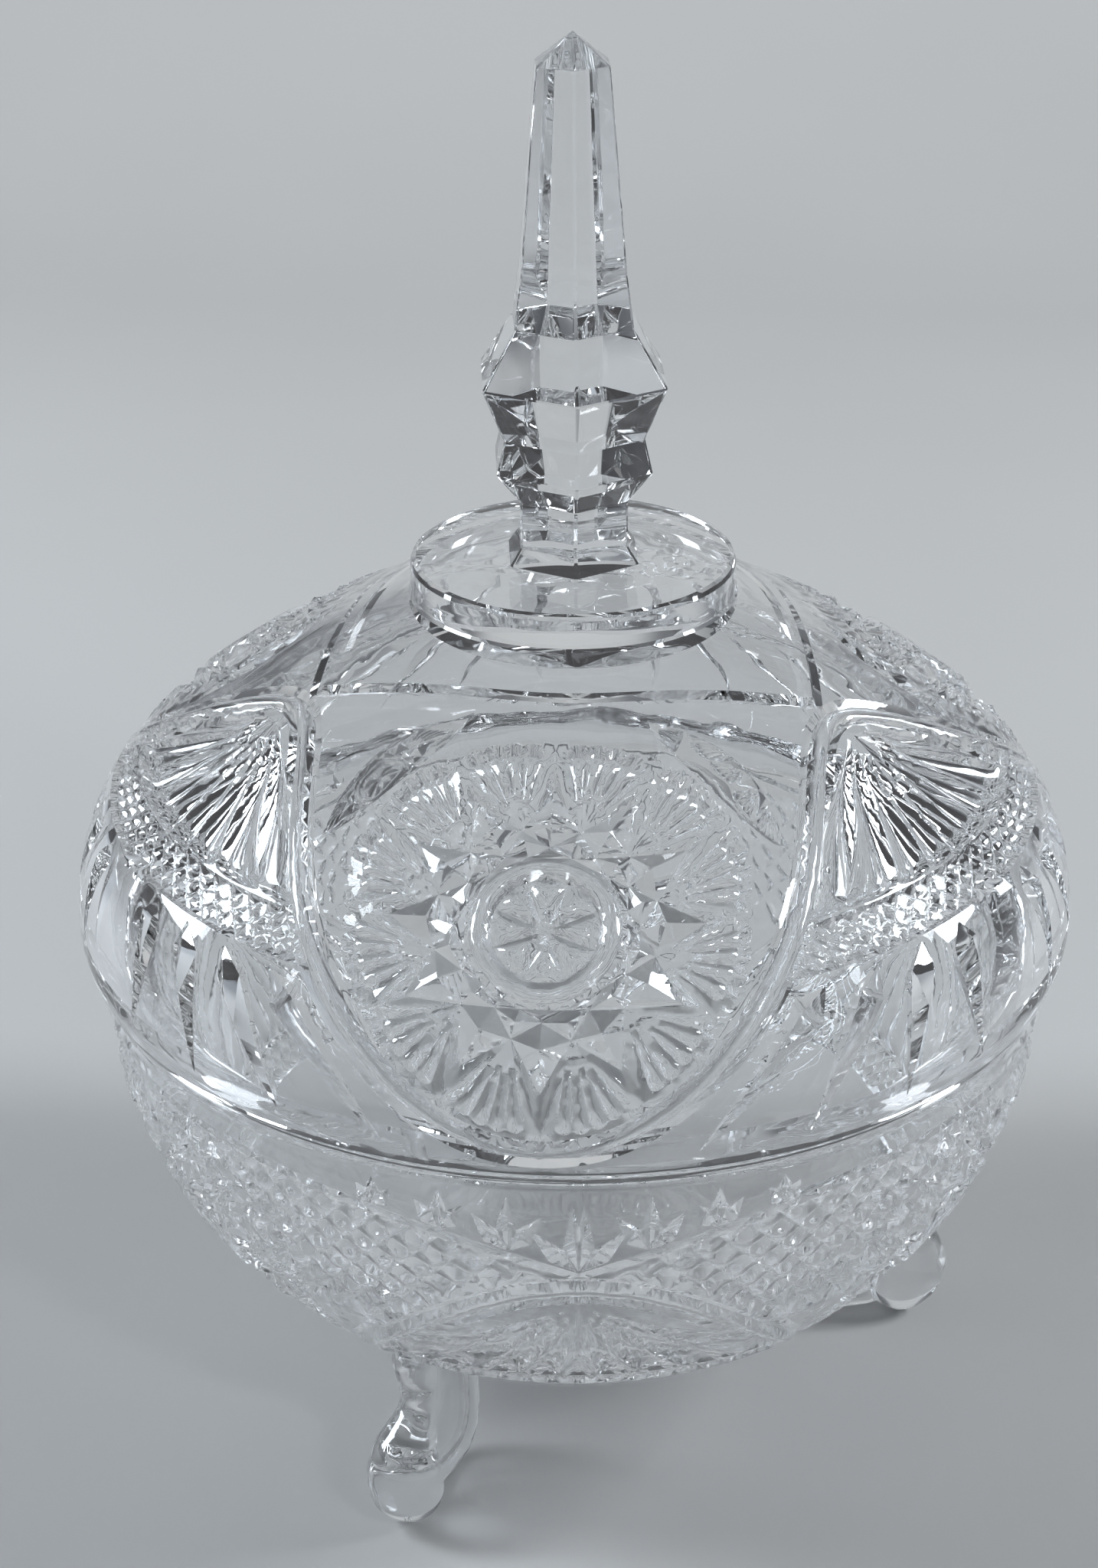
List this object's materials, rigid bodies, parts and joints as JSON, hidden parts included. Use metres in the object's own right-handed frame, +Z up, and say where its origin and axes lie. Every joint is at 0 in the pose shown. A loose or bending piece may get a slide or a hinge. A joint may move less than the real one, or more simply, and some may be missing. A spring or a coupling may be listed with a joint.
{
  "type": "covered candy jar",
  "caption": "Clear pressed-crystal candy jar: a round bowl on scroll feet with a loose domed lid that lifts off by a tall faceted spire knob.",
  "frame": {"origin": "on the jar's axis, at the level of the surface that its feet stand on", "axes": "+Z up along the jar's axis, -Y towards the front medallion of the lid, +X to the right seen from the front"},
  "size_m": [0.1446, 0.1446, 0.2031],
  "materials": {
    "crystal": "polished clear pressed crystal"
  },
  "bodies": {
    "bowl_body": {"bowl": "crystal", "front_foot": "crystal", "right_foot": "crystal", "rear_foot": "crystal"},
    "lid_body": {"lid": "crystal", "finial": "crystal"}
  },
  "joints": [
    {"name": "lid_lift", "type": "slide", "parent": "bowl_body", "child": "lid_body", "axis": [0, 0, 1], "range_m": [0, 0.12]}
  ]
}
